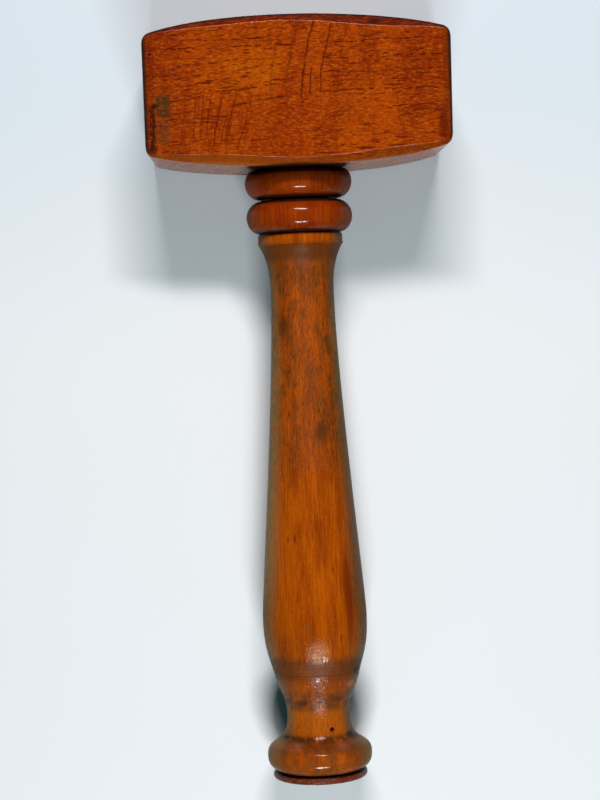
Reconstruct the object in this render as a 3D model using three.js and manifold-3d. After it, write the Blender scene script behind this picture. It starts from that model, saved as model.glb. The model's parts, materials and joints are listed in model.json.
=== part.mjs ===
// Ceremonial gavel in beech: a barrel-shaped head block, a turned handle wedged into it, a foot disc.
// Millimetres, +Z up. The gavel lies on a table, with its head along X and its foot toward -Y.
// The origin is on the table, under the middle of the gavel.
import * as THREE from "three";
import { mergeVertices } from "three/addons/utils/BufferGeometryUtils.js";
import Module from "manifold-3d";

// Head block: lengthways between its striking ends, high along the handle, deep across both
const headLength = 106.6;
const headHeight = 51.95;
const headDepth = 55;
const mortiseOffset = 0.7;
const crownRise = 6.4;
const undersideRise = 5.2;
const cornerRadius = 2.5;
const chamferWidth = 2.4;
const edgeBreak = 0.7;
const fullnessShare = 0.4;

// Wedged joint between the handle and the head
const jointGap = 0.3;
const tenonRadius = 9.5;
const tenonSpread = 0.8;
const kerfWidth = 1;
const kerfDepth = 36;
const wedgeLength = 33;

// Handle from the head down: the lengths run along its axis, the radii are its outline's
const collarRootRadius = 13.7;
const firstBeadRadius = 19.15;
const firstBeadLength = 11.6;
const firstBeadCut = 1.4;
const beadGap = 0.6;
const secondBeadRadius = 18.95;
const secondBeadLength = 11.7;
const quirkRadius = 14.2;
const quirkLength = 0.3;
const ringRadius = 15.25;
const ringLength = 3.8;
const coveTopRadius = 14.95;
const coveLength = 15.0;
const neckRadius = 11.33;
const gripLength = 118.6;
const swellRadius = 18.78;
const fallLength = 19.3;
const creaseRadius = 15.6;
const creaseRootRadius = 15.0;
const creaseLength = 2.9;
const waistDrop = 12.8;
const waistRadius = 11.35;
const waistRise = 9.0;
const ankleRadius = 13.9;
const footQuirkLength = 0.4;
const footRootRadius = 13;
const footBeadRadius = 18.95;
const footBeadLength = 10.95;

// Foot disc and the spigot that holds it
const discRadius = 17.1;
const discThickness = 2.45;
const discEdgeRadius = 0.9;
const spigotRadius = 6;
const spigotLength = 12;

// Sweeps of the outline: two guide points each, as shares of the sweep's length and of its change of radius
const coveShares = [0.36, 0.9, 0.8, 1];
const gripShares = [0.29, 0, 0.93, 1];
const fallShares = [0.4, 0, 0.61, 0.17];
const waistShares = [0.35, 0.43, 0.62, 1];
const ankleShares = [0.4, 0, 0.72, 0.2];

// Fineness of the facets, and how far a cut runs past the face it opens
const turnSteps = 40;
const crownSteps = 24;
const cornerSteps = 4;
const beadSteps = 9;
const ringSteps = 4;
const sweepSteps = 5;
const gripSteps = 15;
const overrun = 2;

const wasm = await Module();
wasm.setup();

// Closed solid of a geometry, for cutting.
function solidOf(geometry) {
  const bare = geometry.clone();
  bare.deleteAttribute("normal");
  bare.deleteAttribute("uv");
  const merged = mergeVertices(bare);
  return new wasm.Manifold(
    new wasm.Mesh({
      numProp: 3,
      vertProperties: merged.attributes.position.array,
      triVerts: new Uint32Array(merged.index.array),
    }),
  );
}

// Geometry of a cut solid, flat-shaded.
function geometryOf(solid) {
  const mesh = solid.getMesh();
  const geometry = new THREE.BufferGeometry();
  geometry.setAttribute("position", new THREE.BufferAttribute(mesh.vertProperties, 3));
  geometry.setIndex(new THREE.BufferAttribute(mesh.triVerts, 1));
  const faceted = geometry.toNonIndexed();
  faceted.computeVertexNormals();
  return faceted;
}

// Named piece in its own varnished wood.
function piece(name, solid, colour, roughness) {
  const wood = new THREE.MeshStandardMaterial({ color: colour, roughness, metalness: 0 });
  const mesh = new THREE.Mesh(geometryOf(solid), wood);
  mesh.name = name;
  return mesh;
}

// Upright bar around the handle's axis, between two heights.
function bar(radius, bottom, top) {
  const shape = new THREE.CylinderGeometry(radius, radius, top - bottom, turnSteps);
  return shape.translate(0, (top + bottom) / 2, 0);
}

// Slab with a drawn side, centred across the head's depth.
function slab(points, depth) {
  const shape = new THREE.Shape(points);
  const extruded = new THREE.ExtrudeGeometry(shape, { depth, bevelEnabled: false });
  return extruded.translate(0, 0, -depth / 2);
}

// The head's side outline, drawn in at the middle and at the ends. Top and underside fall away from
// their middle by a share of their rise, slowly at first, and then round the corners in a quarter circle.
// The handle's axis, and so the mortise, lies a little to the left of the head's middle.
function headOutline(middleInset, endInset) {
  const half = headLength / 2;
  const radius = cornerRadius - endInset;
  const straight = half - endInset - radius;
  const stations = [];
  for (let i = 0; i <= crownSteps; i++) {
    stations.push([straight * ((2 * i) / crownSteps - 1), 0]);
  }
  for (let i = 1; i <= cornerSteps; i++) {
    const turn = ((i / cornerSteps) * Math.PI) / 2;
    const reach = straight + radius * Math.sin(turn);
    const drop = radius * (1 - Math.cos(turn));
    stations.push([reach, drop]);
    stations.unshift([-reach, drop]);
  }
  const inset = (x) => middleInset + (endInset - middleInset) * (x / half) ** 2;
  const fall = (x) => (x / half) ** 2 * (1 - fullnessShare + fullnessShare * (x / half) ** 2);
  const top = stations.map(
    ([x, drop]) =>
      new THREE.Vector2(x + mortiseOffset, headHeight - inset(x) - crownRise * fall(x) - drop),
  );
  const bottom = stations.map(
    ([x, drop]) =>
      new THREE.Vector2(x + mortiseOffset, inset(x) + undersideRise * fall(x) + drop),
  );
  return [...bottom, ...top.reverse()];
}

// A round bar or hole, widened along the head's grain from nothing at the shoulder to the spread on top.
function spreadAlongGrain(geometry, radius) {
  const place = geometry.attributes.position;
  for (let i = 0; i < place.count; i++) {
    const widening = (tenonSpread * Math.max(place.getY(i), 0)) / headHeight;
    place.setX(i, place.getX(i) * (1 + widening / radius));
  }
  return geometry;
}

// Half the width of the opened saw kerf at a height.
function kerfHalf(height) {
  return kerfWidth / 2 + (tenonSpread * height) / headHeight;
}

// Slab that fills the opened kerf between two heights, less a clearance on each side.
function kerfSlab(bottom, top, clearance, width) {
  const low = kerfHalf(bottom) - clearance;
  const high = kerfHalf(top) - clearance;
  const side = [
    new THREE.Vector2(-low, bottom),
    new THREE.Vector2(low, bottom),
    new THREE.Vector2(high, top),
    new THREE.Vector2(-high, top),
  ];
  return slab(side, width);
}

// Handle's half outline: runs that each carry on from the last station down the axis.
function turnedOutline(tenonTop) {
  const points = [new THREE.Vector2(0, tenonTop), new THREE.Vector2(tenonRadius, tenonTop)];
  let station = -jointGap;
  const corner = (radius, drop) => {
    station -= drop;
    points.push(new THREE.Vector2(radius, station));
  };
  // Half an ellipse that stands out from its root, less what the head's underside cuts off its top.
  const bead = (root, radius, length, steps, cutOff = 0) => {
    const middle = station + cutOff - length / 2;
    const start = Math.asin(1 - (2 * cutOff) / length);
    const stop = -Math.PI / 2;
    const arc = new THREE.EllipseCurve(root, middle, radius - root, length / 2, start, stop, true);
    points.push(...arc.getPoints(steps));
    station -= length - cutOff;
  };
  // One smooth curve from a radius to another, led by two guide points.
  const sweep = (from, to, length, shares, steps) => {
    const at = (alongShare, radiusShare) =>
      new THREE.Vector2(from + (to - from) * radiusShare, station - length * alongShare);
    const curve = new THREE.CubicBezierCurve(
      at(0, 0),
      at(shares[0], shares[1]),
      at(shares[2], shares[3]),
      at(1, 1),
    );
    points.push(...curve.getPoints(steps));
    station -= length;
  };
  corner(tenonRadius, 0);
  bead(collarRootRadius, firstBeadRadius, firstBeadLength, beadSteps, firstBeadCut);
  corner(collarRootRadius, beadGap);
  bead(collarRootRadius, secondBeadRadius, secondBeadLength, beadSteps);
  corner(quirkRadius, quirkLength / 2);
  corner(quirkRadius, quirkLength / 2);
  bead(coveTopRadius, ringRadius, ringLength, ringSteps);
  sweep(coveTopRadius, neckRadius, coveLength, coveShares, sweepSteps);
  sweep(neckRadius, swellRadius, gripLength, gripShares, gripSteps);
  sweep(swellRadius, creaseRadius, fallLength, fallShares, sweepSteps);
  bead(creaseRootRadius, creaseRadius, creaseLength, ringSteps);
  sweep(creaseRootRadius, waistRadius, waistDrop, waistShares, sweepSteps);
  sweep(waistRadius, ankleRadius, waistRise, ankleShares, sweepSteps);
  corner(footRootRadius, footQuirkLength);
  bead(footRootRadius, footBeadRadius, footBeadLength, beadSteps);
  corner(0, 0);
  return points.filter((p, i) => i === 0 || p.distanceTo(points[i - 1]) > 0);
}

// Half outline of the foot disc: spigot, flat top, and a rim rounded above and below.
function discOutline(seat) {
  const top = seat - jointGap;
  const bottom = top - discThickness;
  const edge = Math.min(discEdgeRadius, discThickness / 2);
  const rim = discRadius - edge;
  const start = Math.PI / 2;
  const upper = new THREE.EllipseCurve(rim, top - edge, edge, edge, start, 0, true);
  const lower = new THREE.EllipseCurve(rim, bottom + edge, edge, edge, 0, -start, true);
  return [
    new THREE.Vector2(0, top + spigotLength),
    new THREE.Vector2(spigotRadius, top + spigotLength),
    new THREE.Vector2(spigotRadius, top),
    ...upper.getPoints(ringSteps),
    ...lower.getPoints(ringSteps),
    new THREE.Vector2(0, bottom),
  ];
}

// Solid turned from a half outline that runs down the axis.
function turned(outline) {
  return new THREE.LatheGeometry([...outline].reverse(), turnSteps);
}

// Head: the barrel, within a block bevelled at 45 degrees from a flatter front face, less the mortise.
// The bevel leaves chamfers that are widest at the middle of the head and run out toward its ends.
function headBlock() {
  const barrel = solidOf(slab(headOutline(0, 0), headDepth));
  const bevel = chamferWidth + overrun;
  const face = new THREE.ExtrudeGeometry(new THREE.Shape(headOutline(chamferWidth, edgeBreak)), {
    depth: headDepth - 2 * bevel,
    bevelThickness: bevel,
    bevelSize: bevel,
    bevelSegments: 1,
  });
  const envelope = solidOf(face.translate(0, 0, bevel - headDepth / 2));
  const mortiseRadius = tenonRadius + jointGap;
  const hole = spreadAlongGrain(bar(mortiseRadius, -overrun, headHeight + overrun), mortiseRadius);
  return barrel.intersect(envelope).subtract(solidOf(hole));
}

// Handle: the turned body with its tenon sprung open by the wedge, and the socket bored in its foot.
function turnedHandle(outline, tenonTop) {
  const foot = outline[outline.length - 1].y;
  const body = solidOf(spreadAlongGrain(turned(outline), tenonRadius));
  const kerf = kerfSlab(tenonTop - kerfDepth, tenonTop + overrun, 0, 2 * (tenonRadius + overrun));
  const socket = bar(spigotRadius + jointGap, foot - overrun, foot + spigotLength);
  return body.subtract(solidOf(kerf)).subtract(solidOf(socket));
}

// Wedge: flush with the tenon's end, and a little narrower than the tenon is round.
function tenonWedge(tenonTop) {
  const width = 2 * (tenonRadius - 2 * jointGap);
  return solidOf(kerfSlab(tenonTop - wedgeLength, tenonTop, jointGap, width));
}

// The gavel leans on the lower back edge of its head until the outline of its handle meets the table.
function restAngle(outline) {
  const edge = new THREE.Vector2(headDepth / 2, chamferWidth);
  const below = outline.filter((p) => p.y < 0);
  return Math.min(...below.map((p) => Math.atan2(edge.x - p.x, edge.y - p.y)));
}

const tenonTop = headHeight - jointGap;
const outline = turnedOutline(tenonTop);
const foot = outline[outline.length - 1].y;

const lying = new THREE.Group();
lying.add(
  piece("head_block", headBlock(), 0xa8571c, 0.35),
  piece("turned_handle", turnedHandle(outline, tenonTop), 0xa85a20, 0.35),
  piece("tenon_wedge", tenonWedge(tenonTop), 0x8a4a1e, 0.5),
  piece("foot_disc", solidOf(turned(discOutline(foot))), 0x9c3d16, 0.45),
);
lying.rotation.x = restAngle(outline);

const gavel = new THREE.Group();
gavel.add(lying);
gavel.updateMatrixWorld(true);
const box = new THREE.Box3().setFromObject(gavel, true);
const middle = box.getCenter(new THREE.Vector3());
lying.position.set(-middle.x, -middle.y, -box.min.z);

export default gavel;
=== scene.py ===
# Ceremonial gavel in varnished beech, lying on pale paper under two strip lamps.
# Shapes are worked out in the gavel's own millimetres: x along the head, y from the shoulder of the handle
# toward the head, z out of the head's front face. They are then leaned and moved to where the gavel lies.
import json
import math

import bpy
import numpy as np
from mathutils import Matrix, Vector


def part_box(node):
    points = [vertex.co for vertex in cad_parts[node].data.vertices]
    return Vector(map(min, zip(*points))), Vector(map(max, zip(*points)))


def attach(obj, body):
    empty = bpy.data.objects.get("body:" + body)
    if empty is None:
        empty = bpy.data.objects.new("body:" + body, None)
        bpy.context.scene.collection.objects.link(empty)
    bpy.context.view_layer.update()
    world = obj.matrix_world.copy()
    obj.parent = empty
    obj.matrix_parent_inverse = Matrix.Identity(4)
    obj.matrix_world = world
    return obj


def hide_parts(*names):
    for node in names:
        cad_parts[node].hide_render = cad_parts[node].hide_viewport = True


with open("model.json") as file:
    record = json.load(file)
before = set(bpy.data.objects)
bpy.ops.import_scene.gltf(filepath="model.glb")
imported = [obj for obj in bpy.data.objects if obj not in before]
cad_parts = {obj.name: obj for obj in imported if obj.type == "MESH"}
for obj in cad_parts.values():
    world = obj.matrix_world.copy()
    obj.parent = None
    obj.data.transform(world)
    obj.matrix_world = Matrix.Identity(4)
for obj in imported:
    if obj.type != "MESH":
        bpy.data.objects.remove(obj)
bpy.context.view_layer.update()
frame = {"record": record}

MM = 0.001

# Head block
HEAD_LENGTH = 106.6
HEAD_HEIGHT = 51.95
HEAD_DEPTH = 55.0
MORTISE_OFFSET = 0.7
CROWN_RISE = 6.4
CROWN_MIDDLE = -3.7
UNDERSIDE_RISE = 5.2
CROWN_LEAN_SHARE = -0.13
UNDERSIDE_LEAN_SHARE = 0.1
FULLNESS_SHARE = 0.4
CORNER_RADIUS = 2.5
CHAMFER = 2.4
EDGE_BREAK = 0.7
EDGE_SOFTNESS = 0.3
CHAMFER_WAVE = 0.16

# The right end's lean: how far it draws in at its foot, how far above the head's middle it starts, as a
# share of half the height, and the power of x that keeps it near the end
END_LEAN = 0.5
LEAN_START = 0.6
LEAN_POWER = 16

# Widths of the front face's upper and lower chamfer at places along the head
UPPER_CHAMFER = [
    (-52.6, 0.8), (-44, 1.3), (-35, 2.05), (-26, 2.5), (-14, 2.55), (-3, 2.4), (5, 2.6), (12, 3.15),
    (22, 3.6), (30, 3.7), (35, 3.4), (40, 2.6), (46, 1.9), (54, 0.9),
]
LOWER_CHAMFER = [
    (-52.6, 0.8), (-46, 1.6), (-40, 2.3), (-34, 2.9), (-27, 3.4), (-20, 3.3), (-12, 2.8), (-4, 2.45),
    (4, 2.25), (12, 2.4), (20, 2.8), (28, 3.1), (36, 2.9), (42, 2.45), (48, 1.8), (54, 0.9),
]

# Wedged joint, with the powers that make the wedge's and the kerf's rings nearly square
JOINT_GAP = 0.3
TENON_RADIUS = 9.5
TENON_SPREAD = 0.8
TENON_TOP = HEAD_HEIGHT - JOINT_GAP
KERF_WIDTH = 1.0
KERF_DEPTH = 36.0
WEDGE_LENGTH = 33.0
WEDGE_POWER = 9
KERF_POWER = 40

# How far a cutter reaches past the surface that it cuts
OVERRUN = 2.0

# Handle from the head down: lengths along its axis, radii of its outline
COLLAR_ROOT = 13.7
FIRST_BEAD = 19.15
FIRST_BEAD_LENGTH = 11.6
FIRST_BEAD_CUT = 1.4
BEAD_GAP = 0.6
SECOND_BEAD = 18.95
SECOND_BEAD_LENGTH = 11.7
QUIRK = 14.2
QUIRK_LENGTH = 0.3
RING = 15.15
RING_LENGTH = 3.8
RING_POWER = 5.0
RING_FLARE = 0.2
COVE_TOP = 14.95
COVE_LENGTH = 15.0
NECK = 11.33
GRIP_LENGTH = 118.6
SWELL = 18.78
FALL_LENGTH = 19.3
CREASE = 15.6
CREASE_ROOT = 15.0
CREASE_LENGTH = 2.9
WAIST_DROP = 12.8
WAIST = 11.35
WAIST_RISE = 9.0
ANKLE = 13.9
FOOT_QUIRK_LENGTH = 0.4
FOOT_ROOT = 13.0
FOOT_BEAD = 18.89
FOOT_BEAD_LENGTH = 10.95
FOOT_BEAD_POWER = 2.4
COVE_SHARES = (0.36, 0.9, 0.8, 1)
GRIP_SHARES = (0.29, 0, 0.93, 1)
FALL_SHARES = (0.4, 0, 0.61, 0.17)
WAIST_SHARES = (0.35, 0.43, 0.62, 1)
ANKLE_SHARES = (0.4, 0, 0.72, 0.2)
HANDLING_WEAR = 0.06

# Where the outline is rubbed soft: station, reach to each side, and the rub's width
RUBBED = [(-181.5, 8.0, 2.2), (-204.6, 4.5, 1.2)]

# Foot disc
DISC = 17.1
DISC_THICKNESS = 2.45
DISC_EDGE = 0.9
SPIGOT = 6.0
SPIGOT_LENGTH = 12.0
RIM_CHIPS = 0.28

# Station of the middle of the disc's thickness
DISC_MIDDLE = -217.38

# Worm hole in the handle's waist, which slants toward the head, and pin hole in the head's front face
HOLE_RADIUS = 0.95
HOLE_DEPTH = 3.0
HOLE_STATION = -200.2
HOLE_TURN = math.radians(22.6)
HOLE_SLANT = 0.15
PIN_HOLE_RADIUS = 0.4
PIN_HOLE_DEPTH = 1.5
PIN_HOLE = (-50.0, 39.3, HEAD_DEPTH / 2)
PIN_HOLE_BORE = (0.1, -0.1, -1)

# Waves of the surfaces' unevenness: rates along and around, and phase
HEAD_WAVES = [(0.13, 2.1, 0.4), (0.31, 4.3, 1.9), (0.57, 1.7, 2.6)]
HANDLE_WAVES = [(0.05, 2, 0.3), (0.11, 3, 1.7), (0.023, 1, 4.1), (0.31, 5, 2.2)]
RIM_WAVES = [(0.9, 3, 0.5), (1.7, 7, 2.3), (0.4, 13, 0.9), (2.3, 22, 3.3), (1.1, 31, 1.2)]

# Faces that meet at a sharper angle than this keep a sharp edge between them
SHARP_ANGLE = math.radians(30)

# Lines on the head's front: place across the lines, half width and strength
LEFT_RAY_ROWS = [
    (11.3, 0.35, 0.6), (21.2, 0.42, 0.9), (26.1, 0.46, 1.0), (27.4, 0.4, 0.8), (30.7, 0.4, 0.8),
    (33.2, 0.4, 0.8), (36.3, 0.4, 0.8), (41.0, 0.46, 1.0), (43.7, 0.35, 0.6), (46.9, 0.35, 0.6),
]
RIGHT_RAY_ROWS = [
    (22.9, 0.36, 0.7), (24.7, 0.44, 1.0), (28.0, 0.34, 0.7), (29.6, 0.36, 0.8), (31.2, 0.38, 0.8),
    (34.5, 0.34, 0.7), (36.3, 0.44, 1.0), (37.6, 0.34, 0.6), (39.9, 0.34, 0.6), (41.8, 0.42, 0.9),
]
RIGHT_GROWTH_LINES = [
    (-12.5, 0.5, 0.25), (-8.8, 0.8, 0.4), (-3.2, 0.9, 0.45), (2.05, 0.6, 1.0), (8.4, 0.45, 1.0),
    (14.2, 0.34, 0.6), (21.0, 0.3, 0.3), (30.5, 0.3, 0.25),
]
LEFT_GROWTH_LINES = [
    (-38.6, 0.5, 0.6), (-34.9, 0.45, 0.7), (-32.4, 0.5, 0.9), (-30.1, 0.45, 0.8), (-26.5, 0.55, 1.0),
    (-21.9, 0.55, 1.0), (-16.5, 0.5, 0.4),
]
CURL_LINES = [(18.5, 0.3, 0.8), (19.3, 0.24, 0.4), (20.2, 0.3, 0.9)]
CHECK_LINES = [(12.75, 0.3, 0.8), (15.2, 0.3, 0.9)]

# Spots on the handle: station, degrees from the front, radius there, half width, half height, colour and
# strength
SPOTS = [
    (-192.6, -55.3, 11.4, 0.8, 0.8, "#170d07", 0.9),
    (-199.5, -61.4, 12.0, 0.8, 0.7, "#1c120a", 0.8),
    (-197.3, -27.3, 11.8, 0.7, 1.4, "#6b1505", 0.7),
    (-203.0, -64.6, 14.0, 3.0, 1.1, "#1d140c", 0.85),
    (-202.3, 58.5, 14.0, 3.4, 1.5, "#1d140c", 0.85),
    (-179.4, 63.7, 15.5, 3.6, 2.4, "#241509", 0.8),
    (-184.1, 55.4, 13.8, 3.2, 1.8, "#b5764a", 0.5),
    (-190.2, -27.2, 11.5, 3.0, 2.0, "#3a2c1c", 0.75),
    (-189.1, 35.2, 11.6, 3.2, 1.9, "#3a2717", 0.7),
    (-190.0, -65.9, 11.5, 2.6, 2.0, "#2b2117", 0.75),
    (-213.3, 18.8, 18.0, 0.8, 0.5, "#1c0f08", 0.8),
    (-148.0, 41.0, 18.7, 2.8, 30.0, "#70240a", 0.7),
    (-87.1, -29.5, 13.3, 0.7, 1.1, "#6b1505", 0.8),
    (-130.8, -22.4, 16.6, 0.4, 2.6, "#4a1204", 0.8),
    (-131.1, -31.5, 16.6, 0.4, 2.2, "#4a1204", 0.7),
    (-142.2, 22.8, 17.5, 0.4, 2.8, "#7a1204", 0.7),
    (-150.9, -19.6, 18.2, 0.5, 4.5, "#8a2404", 0.6),
    (-166.5, 28.1, 18.6, 0.5, 2.0, "#4a1204", 0.7),
    (-161.9, -8.4, 18.8, 0.8, 1.6, "#5f5330", 0.6),
    (-55.6, -40.0, 11.5, 3.4, 4.8, "#43280f", 0.6),
    (-93.9, 22.0, 13.4, 4.6, 6.6, "#43280f", 0.5),
    (-43.0, 43.0, 11.4, 0.6, 3.4, "#781404", 0.7),
    # Painted highlight: the last spot is a pale patch round the lamps' highlight above the waist, standing
    # for its haze
    (-171.6, 2.0, 17.6, 5.6, 6.0, "#c88c4a", 0.3),
]

# Drops in the handle's varnish: station, degrees from the front, radius there and half width
DROPS = [(-173.8, 9.5, 17.3, 1.5), (-181.6, 0.0, 15.3, 0.9), (-188.9, 4.0, 11.6, 0.9)]

# Where the gavel lies: its lean is that of its front face, and its shoulder follows from its head's box
front_face = next(m for m in frame["record"]["mounts"] if m["name"] == "front_face")
lean = math.atan2(-front_face["axis"][1], front_face["axis"][2])
head_low, head_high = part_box("head_block")
shoulder = Vector((
    (head_low.x + head_high.x) / 2 - MORTISE_OFFSET * MM,
    head_high.y - (HEAD_HEIGHT * math.cos(lean) + (HEAD_DEPTH / 2 - CHAMFER) * math.sin(lean)) * MM,
    head_low.z + (HEAD_DEPTH / 2 * math.cos(lean) - CHAMFER * math.sin(lean)) * MM,
))
leaning = Matrix.Rotation(lean, 3, "X")


def placed(points):
    """Points of the gavel's own millimetres, in metres: turned by its lean about x, and moved to its
    shoulder."""
    return np.asarray(points) @ np.array(leaning.transposed()) * MM + np.array(shoulder)


def shell(name, rows, first, last):
    """Closed mesh of rings: each row of points is a ring, joined to the next by four-sided faces, and the
    end rings are drawn to one point each. A mesh that comes out inside out is turned round."""
    count, around = rows.shape[:2]
    points = placed(np.concatenate([[first], rows.reshape(-1, 3), [last]]))
    ring = 1 + np.arange(count)[:, None] * around + np.arange(around)
    beside = np.roll(ring, -1, axis=1)
    quads = np.stack([ring[:-1], beside[:-1], beside[1:], ring[1:]], axis=-1).reshape(-1, 4)
    first_tip = np.zeros(around, int)
    last_tip = np.full(around, len(points) - 1)
    caps = np.concatenate([
        np.stack([first_tip, beside[0], ring[0]], axis=-1),
        np.stack([last_tip, ring[-1], beside[-1]], axis=-1),
    ])
    corners = np.concatenate([quads[:, :3], quads[:, [0, 2, 3]], caps])
    a, b, c = (points[corners[:, i]] - points[0] for i in range(3))
    if np.einsum("ij,ij->", np.cross(a, b), c) < 0:
        quads, caps = quads[:, ::-1], caps[:, ::-1]
    mesh = bpy.data.meshes.new(name)
    mesh.from_pydata(points, [], quads.tolist() + caps.tolist())
    piece = bpy.data.objects.new(name, mesh)
    bpy.context.scene.collection.objects.link(piece)
    return piece


def cut(piece, *cutters):
    """Takes the cutters' shapes out of a piece, and then removes them."""
    for cutter in cutters:
        change = piece.modifiers.new("cut", "BOOLEAN")
        change.operation = "DIFFERENCE"
        change.solver = "EXACT"
        change.object = cutter
    ready = piece.evaluated_get(bpy.context.evaluated_depsgraph_get())
    rough = piece.data
    piece.data = bpy.data.meshes.new_from_object(ready)
    piece.modifiers.clear()
    bpy.data.meshes.remove(rough)
    for cutter in cutters:
        bpy.data.objects.remove(cutter)


def finish_piece(piece, node, material):
    """Smooth shading but for the sharp edges, the finish, and the ties to the frame."""
    piece.data.shade_smooth()
    piece.data.set_sharp_from_angle(angle=SHARP_ANGLE)
    piece.data.materials.clear()
    piece.data.materials.append(material)
    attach(piece, "root")
    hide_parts(node)


# Shapes

def ripple(along, around, waves):
    """Smooth unevenness between -1 and 1: the mean of sines, each with its own rates along and around, and
    its own phase."""
    parts = [np.sin(rate * along + turns * around + phase) for rate, turns, phase in waves]
    return sum(parts) / len(parts)


def once_round(steps):
    """Angles once round an axis, in equal steps."""
    return np.linspace(0, 2 * math.pi, steps, endpoint=False)


def ring_points(x, y, z):
    """Rows of points, each row a ring. A measure that is given once for a row, or once for a place round the
    ring, holds for all of it."""
    return np.stack(np.broadcast_arrays(x, y, z), axis=-1)


def fall(x):
    """How far top and underside have fallen away at x: s squared times (1 - f + f s squared), where s runs
    from -1 to 1 along the head."""
    s = x / (HEAD_LENGTH / 2)
    return s ** 2 * (1 - FULLNESS_SHARE + FULLNESS_SHARE * s ** 2)


def crowded(steps, crowding):
    """Shares from 0 to 1: the steps crowd toward both ends as the crowding rises."""
    t = np.linspace(-1, 1, steps)
    t = np.sign(t) * (1 - (1 - np.abs(t)) ** crowding)
    return (t + 1) / 2


def planed(widths, x):
    """Chamfer's width at x: one polynomial of the seventh degree, fitted to the widths at their places."""
    place, width = np.array(widths).T
    return np.polynomial.Polynomial.fit(place - MORTISE_OFFSET, width, 7)(x)


def head_rings():
    """Rings round the head from its left end to its right end. Each is a rectangle with 45 degree chamfers,
    whose eight corners are quadratic curves led by the corner point. Top and underside follow fall(x), the
    height draws in round the end corners in a quarter circle, and the depth in a smaller one. The right end
    leans: it draws in by a distance in proportion to how low a point lies."""
    half = HEAD_LENGTH / 2
    turn = np.linspace(0, math.pi / 2, 12)
    end = half - CORNER_RADIUS + CORNER_RADIUS * np.sin(turn)
    span = np.linspace(-end[0], end[0], 150)
    x = np.concatenate([-end[:0:-1], span, end[1:]])
    past = np.clip(np.abs(x) - (half - CORNER_RADIUS), 0, CORNER_RADIUS)
    drop = CORNER_RADIUS - np.sqrt(CORNER_RADIUS ** 2 - past ** 2)
    past = np.clip(np.abs(x) - (half - EDGE_BREAK), 0, EDGE_BREAK)
    narrowing = EDGE_BREAK - np.sqrt(EDGE_BREAK ** 2 - past ** 2)
    side = x / half
    crown_side = (x - CROWN_MIDDLE) / half
    top = HEAD_HEIGHT - CROWN_RISE * (1 + CROWN_LEAN_SHARE * crown_side) * fall(x - CROWN_MIDDLE) - drop
    bottom = UNDERSIDE_RISE * (1 + UNDERSIDE_LEAN_SHARE * side) * fall(x) + drop
    depth = HEAD_DEPTH / 2 - narrowing
    back = CHAMFER + (EDGE_BREAK - CHAMFER) * side ** 2
    wide = [planed(LOWER_CHAMFER, x), planed(UPPER_CHAMFER, x), back, back]
    wide = [
        width + CHAMFER_WAVE * (1 - ripple(x, edge, HEAD_WAVES)) / 2 for edge, width in enumerate(wide)
    ]
    corners = [
        (depth, bottom + wide[0]), (depth, top - wide[1]),
        (depth - wide[1], top), (wide[2] - depth, top),
        (-depth, top - wide[2]), (-depth, bottom + wide[3]),
        (wide[3] - depth, bottom), (depth - wide[0], bottom),
    ]
    corners = np.stack([np.stack(c, axis=-1) for c in corners])
    after = np.roll(corners, -1, axis=0)
    heading = (after - corners) / np.linalg.norm(after - corners, axis=-1, keepdims=True)
    before = np.roll(heading, 1, axis=0)
    bend = np.linspace(0, 1, 7)[:, None, None]
    ring = []
    # Even runs cross a face, and odd ones a chamfer
    for i in range(8):
        start = corners[i] - before[i] * EDGE_SOFTNESS
        stop = corners[i] + heading[i] * EDGE_SOFTNESS
        ring.append(start * (1 - bend) ** 2 + 2 * bend * (1 - bend) * corners[i] + stop * bend ** 2)
        share = crowded(26 if i % 2 == 0 else 5, 1.6)[1:-1, None, None]
        ring.append(stop * (1 - share) + (after[i] - heading[i] * EDGE_SOFTNESS) * share)
    ring = np.concatenate(ring)
    rows = ring_points(x[:, None] + MORTISE_OFFSET, ring[..., 1].T, ring[..., 0].T)
    low = np.clip((HEAD_HEIGHT / 2 - rows[..., 1]) / (HEAD_HEIGHT / 2), -LEAN_START, 1) + LEAN_START
    rows[..., 0] -= END_LEAN / (1 + LEAN_START) * low * np.clip(side, 0, 1)[:, None] ** LEAN_POWER
    left = np.array([-half + MORTISE_OFFSET, (top[0] + bottom[0]) / 2, 0])
    right = rows[-1].mean(axis=0)
    shares = np.linspace(0, 1, 18)[1:, None, None]
    rows = np.concatenate([
        left + (rows[0] - left) * shares[:-1],
        rows,
        right + (rows[-1] - right) * shares[-2::-1],
    ])
    return rows, left, right


def squared_off(turn, power):
    """Sine and cosine of a turn, which make a superellipse: each keeps its sign, and its size is raised to 2
    divided by the power."""
    return [np.sign(f(turn)) * np.abs(f(turn)) ** (2 / power) for f in (np.sin, np.cos)]


def round_bar(name, radius, low, high, widening=0.0):
    """Round bar about the handle's axis, widened along x from nothing at the shoulder to its top."""
    turn = once_round(128)
    y = np.array([[low], [0], [high]] if low < 0 < high else [[low], [high]])
    wide = radius + widening * np.clip(y, 0, None) / HEAD_HEIGHT
    rows = ring_points(wide * np.sin(turn), y, radius * np.cos(turn))
    return shell(name, rows, (0, low, 0), (0, high, 0))


def drilled(name, mouth, direction, radius, depth):
    """Drill of a worm's bore: a round bar from just outside the mouth down along a direction, which tapers
    over its last fifth."""
    direction = np.array(direction) / np.linalg.norm(direction)
    aside = np.cross(direction, (0.3, 1.0, 0.2))
    aside /= np.linalg.norm(aside)
    across = np.cross(direction, aside)
    turn = once_round(20)
    ring = radius * (np.outer(np.sin(turn), aside) + np.outer(np.cos(turn), across))
    reach = np.array([-depth / 2, 0.8 * depth, depth])[:, None, None] * direction
    taper = np.array([1.0, 1.0, 0.6])[:, None, None]
    rows = mouth + reach + ring * taper
    return shell(name, rows, mouth + reach[0, 0], mouth + 1.1 * reach[-1, 0])


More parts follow.
